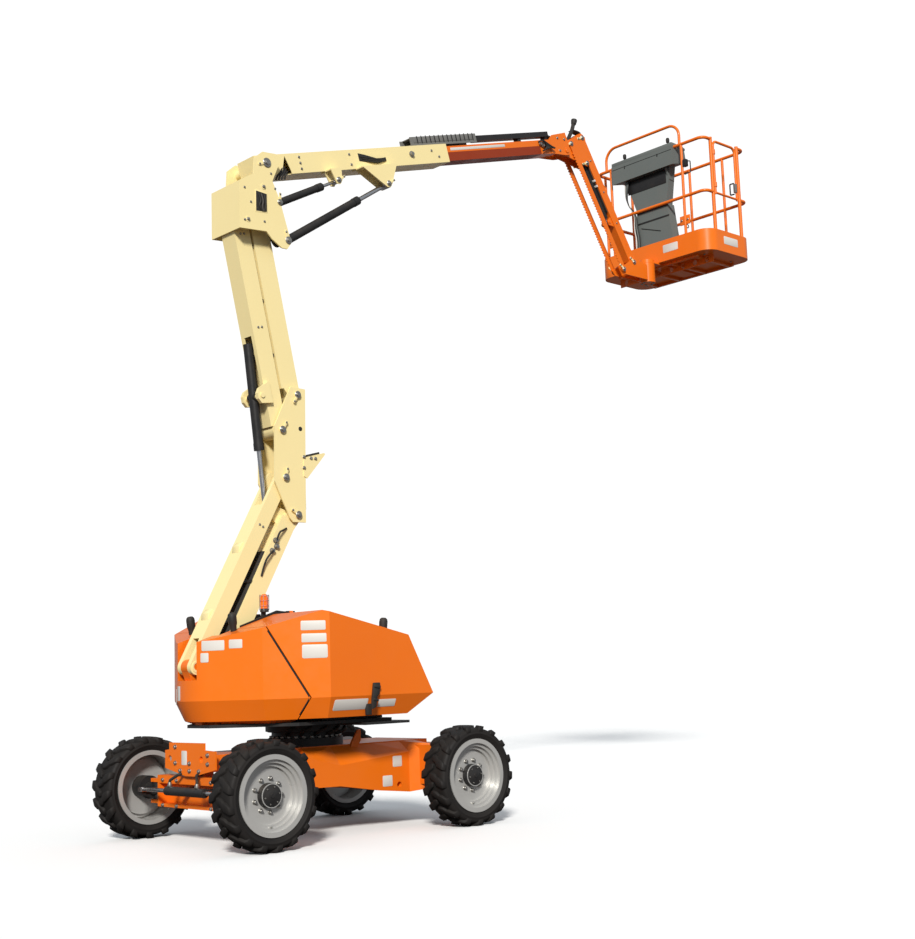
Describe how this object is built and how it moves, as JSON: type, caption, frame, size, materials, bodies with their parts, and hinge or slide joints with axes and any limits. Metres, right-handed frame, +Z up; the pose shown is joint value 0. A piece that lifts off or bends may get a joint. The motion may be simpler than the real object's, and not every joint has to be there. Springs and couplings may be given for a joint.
{
  "type": "articulating boom lift",
  "caption": "Self-propelled work platform on a folding tower, telescoping boom and jib, with swinging turntable and steering axle.",
  "frame": {"origin": "on the ground under the swing axis", "axes": "+X towards the drive axle and the platform, +Y to the far side, +Z up"},
  "size_m": [6.849, 1.93, 6.96],
  "materials": {
    "orange_paint": "semi-gloss",
    "cream_paint": "semi-gloss",
    "black_paint": "satin",
    "grey_plastic": "matte",
    "wheel_paint": "satin",
    "tyre_rubber": "matte",
    "engine_iron": "matte",
    "bright_steel": "machined",
    "amber_plastic": "glossy"
  },
  "bodies": {
    "chassis": {"chassis_frame": "orange_paint", "steer_axle": "orange_paint", "drive_hub_near": "black_paint", "drive_hub_far": "black_paint", "steering_cylinder": "black_paint", "swing_bearing": "black_paint"},
    "knuckle_near": {"knuckle_near": "black_paint"},
    "knuckle_far": {"knuckle_far": "black_paint"},
    "steering_rod": {"steering_rod": "bright_steel"},
    "wheel_front_near": {"tyre_front_near": "tyre_rubber", "rim_front_near": "wheel_paint"},
    "wheel_front_far": {"tyre_front_far": "tyre_rubber", "rim_front_far": "wheel_paint"},
    "wheel_rear_near": {"tyre_rear_near": "tyre_rubber", "rim_rear_near": "wheel_paint"},
    "wheel_rear_far": {"tyre_rear_far": "tyre_rubber", "rim_rear_far": "wheel_paint"},
    "turntable": {"turntable_deck": "orange_paint", "deck_plate": "black_paint", "counterweight": "orange_paint", "engine_block": "engine_iron", "fuel_tank": "black_paint", "engine_tray": "black_paint", "cover_near": "black_paint", "cover_far": "black_paint", "beacon": "amber_plastic"},
    "hood_near": {"hood_near": "orange_paint"},
    "hood_far": {"hood_far": "orange_paint"},
    "lower_arm": {"lower_arm": "cream_paint"},
    "lower_link": {"lower_link": "cream_paint"},
    "mid_upright": {"mid_upright": "cream_paint"},
    "upper_arm": {"upper_arm": "cream_paint"},
    "upper_link": {"upper_link": "cream_paint"},
    "tower_top": {"tower_top": "cream_paint"},
    "tower_cylinder": {"tower_cylinder": "black_paint"},
    "tower_rod": {"tower_rod": "bright_steel"},
    "base_boom": {"base_boom": "cream_paint", "cable_channel": "black_paint"},
    "boom_cylinder": {"boom_cylinder": "black_paint"},
    "boom_rod": {"boom_rod": "bright_steel"},
    "level_cylinder": {"level_cylinder": "black_paint"},
    "level_rod": {"level_rod": "bright_steel"},
    "fly_boom": {"fly_boom": "orange_paint", "hose_tray": "black_paint"},
    "jib_base": {"jib_base": "orange_paint"},
    "jib_tube": {"jib_tube": "orange_paint"},
    "jib_links": {"jib_link_near": "orange_paint", "jib_link_far": "orange_paint"},
    "jib_cylinder": {"jib_cylinder": "black_paint"},
    "jib_rod": {"jib_rod": "bright_steel"},
    "platform_support": {"platform_support": "orange_paint"},
    "platform": {"platform_floor": "orange_paint", "platform_bracket": "orange_paint", "platform_rails": "orange_paint", "control_console": "grey_plastic"},
    "gate": {"platform_gate": "orange_paint"}
  },
  "joints": [
    {"name": "steer_near", "type": "hinge", "parent": "chassis", "child": "knuckle_near", "pos_m": [-0.98, -0.61, 0.394], "axis": [0, 0, 1], "range_deg": [-35, 35]},
    {"name": "steer_far", "type": "hinge", "parent": "chassis", "child": "knuckle_far", "pos_m": [-0.98, 0.61, 0.394], "axis": [0, 0, 1], "range_deg": [-35.1, 35.1]},
    {"name": "steering_slide", "type": "slide", "parent": "chassis", "child": "steering_rod", "axis": [0, -1, 0], "range_m": [-0.087, 0.087]},
    {"name": "wheel_front_near_spin", "type": "hinge", "parent": "knuckle_near", "child": "wheel_front_near", "pos_m": [-0.98, -0.838, 0.394], "axis": [0, 1, 0], "continuous": true},
    {"name": "wheel_front_far_spin", "type": "hinge", "parent": "knuckle_far", "child": "wheel_front_far", "pos_m": [-0.98, 0.838, 0.394], "axis": [0, 1, 0], "continuous": true},
    {"name": "wheel_rear_near_spin", "type": "hinge", "parent": "chassis", "child": "wheel_rear_near", "pos_m": [0.98, -0.838, 0.394], "axis": [0, 1, 0], "continuous": true},
    {"name": "wheel_rear_far_spin", "type": "hinge", "parent": "chassis", "child": "wheel_rear_far", "pos_m": [0.98, 0.838, 0.394], "axis": [0, 1, 0], "continuous": true},
    {"name": "swing", "type": "hinge", "parent": "chassis", "child": "turntable", "pos_m": [0, 0, 0.7], "axis": [0, 0, 1], "range_deg": [-177.5, 177.5]},
    {"name": "hood_near_lid", "type": "hinge", "parent": "turntable", "child": "hood_near", "pos_m": [0, -0.243, 1.72], "axis": [-1, 0, 0], "range_deg": [0, 65]},
    {"name": "hood_far_lid", "type": "hinge", "parent": "turntable", "child": "hood_far", "pos_m": [0, 0.243, 1.72], "axis": [1, 0, 0], "range_deg": [0, 65]},
    {"name": "tower_lift", "type": "hinge", "parent": "turntable", "child": "lower_arm", "pos_m": [-1.06, 0, 1.315], "axis": [0, 1, 0], "range_deg": [0, 66]},
    {"name": "lower_link_pivot", "type": "hinge", "parent": "turntable", "child": "lower_link", "pos_m": [-0.943, 0, 1.017], "axis": [0, 1, 0], "range_deg": [-0.1, 66.1]},
    {"name": "mid_upright_pivot", "type": "hinge", "parent": "lower_arm", "child": "mid_upright", "pos_m": [-0.243, 0, 2.81], "axis": [0, 1, 0], "range_deg": [-66.1, 0.1]},
    {"name": "upper_arm_pivot", "type": "hinge", "parent": "mid_upright", "child": "upper_arm", "pos_m": [-0.27, 0, 3.197], "axis": [0, -1, 0], "range_deg": [-0.1, 74.9]},
    {"name": "upper_link_pivot", "type": "hinge", "parent": "mid_upright", "child": "upper_link", "pos_m": [-0.116, 0, 3.5], "axis": [0, -1, 0], "range_deg": [-0.1, 74.9]},
    {"name": "tower_top_pivot", "type": "hinge", "parent": "upper_arm", "child": "tower_top", "pos_m": [-0.628, 0, 4.87], "axis": [0, 1, 0], "range_deg": [-0.1, 74.9]},
    {"name": "tower_cylinder_pivot", "type": "hinge", "parent": "upper_arm", "child": "tower_cylinder", "pos_m": [-0.457, 0, 3.46], "axis": [0, 1, 0], "range_deg": [-0.1, 31.5]},
    {"name": "tower_rod_slide", "type": "slide", "parent": "tower_cylinder", "child": "tower_rod", "axis": [0.1112, 0, -0.9938], "range_m": [-0.38, 0.005]},
    {"name": "boom_lift", "type": "hinge", "parent": "tower_top", "child": "base_boom", "pos_m": [-0.44, 0, 5.385], "axis": [0, -1, 0], "range_deg": [-26, 56]},
    {"name": "boom_cylinder_pivot", "type": "hinge", "parent": "tower_top", "child": "boom_cylinder", "pos_m": [-0.235, 0, 4.766], "axis": [0, -1, 0], "range_deg": [-21, 45]},
    {"name": "boom_rod_slide", "type": "slide", "parent": "boom_cylinder", "child": "boom_rod", "axis": [0.8339, 0, 0.5519], "range_m": [-0.26, 0.556]},
    {"name": "level_cylinder_pivot", "type": "hinge", "parent": "tower_top", "child": "level_cylinder", "pos_m": [-0.314, 0, 5.075], "axis": [0, -1, 0], "range_deg": [-22.8, 48.8]},
    {"name": "level_rod_slide", "type": "slide", "parent": "level_cylinder", "child": "level_rod", "axis": [0.8834, 0, 0.4685], "range_m": [-0.145, 0.305]},
    {"name": "fly_extend", "type": "slide", "parent": "base_boom", "child": "fly_boom", "axis": [0.9613, 0, 0.2756], "range_m": [-1, 0.07]},
    {"name": "jib_base_level", "type": "hinge", "parent": "fly_boom", "child": "jib_base", "pos_m": [3.33, 0, 6.41], "axis": [0, -1, 0], "range_deg": [-56.1, 26.1]},
    {"name": "jib_lift", "type": "hinge", "parent": "jib_base", "child": "jib_tube", "pos_m": [3.605, 0, 6.62], "axis": [0, -1, 0], "range_deg": [0, 144]},
    {"name": "jib_links_pivot", "type": "hinge", "parent": "jib_base", "child": "jib_links", "pos_m": [3.42, 0, 6.51], "axis": [0, -1, 0], "range_deg": [-0.1, 144.1]},
    {"name": "platform_level", "type": "hinge", "parent": "jib_tube", "child": "platform_support", "pos_m": [4.33441, 0, 5.42503], "axis": [0, -1, 0], "range_deg": [-144.1, 0.1]},
    {"name": "jib_cylinder_pivot", "type": "hinge", "parent": "jib_base", "child": "jib_cylinder", "pos_m": [3.666, 0, 6.362], "axis": [0, -1, 0], "range_deg": [-0.1, 144.5]},
    {"name": "jib_rod_slide", "type": "slide", "parent": "jib_cylinder", "child": "jib_rod", "axis": [0.5135, 0, -0.8581], "range_m": [-0.005, 0.51]},
    {"name": "platform_rotate", "type": "hinge", "parent": "platform_support", "child": "platform", "pos_m": [4.615, 0, 5.46], "axis": [0, 0, 1], "range_deg": [-90, 90]},
    {"name": "gate_hinge", "type": "hinge", "parent": "platform", "child": "gate", "pos_m": [4.907, -0.737, 6], "axis": [0, 0, 1], "range_deg": [-88, 0]}
  ],
  "couplings": [
    {"joint": "steer_far", "follows": "steer_near", "ratio": 1},
    {"joint": "steering_slide", "follows": "steer_near", "m_per_rad": 0.1408},
    {"joint": "lower_link_pivot", "follows": "tower_lift", "ratio": 1},
    {"joint": "mid_upright_pivot", "follows": "tower_lift", "ratio": -1},
    {"joint": "upper_arm_pivot", "follows": "tower_lift", "ratio": 1.1333},
    {"joint": "upper_link_pivot", "follows": "tower_lift", "ratio": 1.1333},
    {"joint": "tower_top_pivot", "follows": "tower_lift", "ratio": 1.1333},
    {"joint": "tower_cylinder_pivot", "follows": "tower_lift", "ratio": 0.4758},
    {"joint": "tower_rod_slide", "follows": "tower_lift", "m_per_rad": -0.3235},
    {"joint": "boom_cylinder_pivot", "follows": "boom_lift", "ratio": 0.8},
    {"joint": "boom_rod_slide", "follows": "boom_lift", "m_per_rad": 0.56},
    {"joint": "level_cylinder_pivot", "follows": "boom_lift", "ratio": 0.865},
    {"joint": "level_rod_slide", "follows": "boom_lift", "m_per_rad": 0.308},
    {"joint": "jib_base_level", "follows": "boom_lift", "ratio": -1},
    {"joint": "jib_links_pivot", "follows": "jib_lift", "ratio": 1},
    {"joint": "platform_level", "follows": "jib_lift", "ratio": -1},
    {"joint": "jib_cylinder_pivot", "follows": "jib_lift", "ratio": 1.0012},
    {"joint": "jib_rod_slide", "follows": "jib_lift", "m_per_rad": 0.2005}
  ]
}
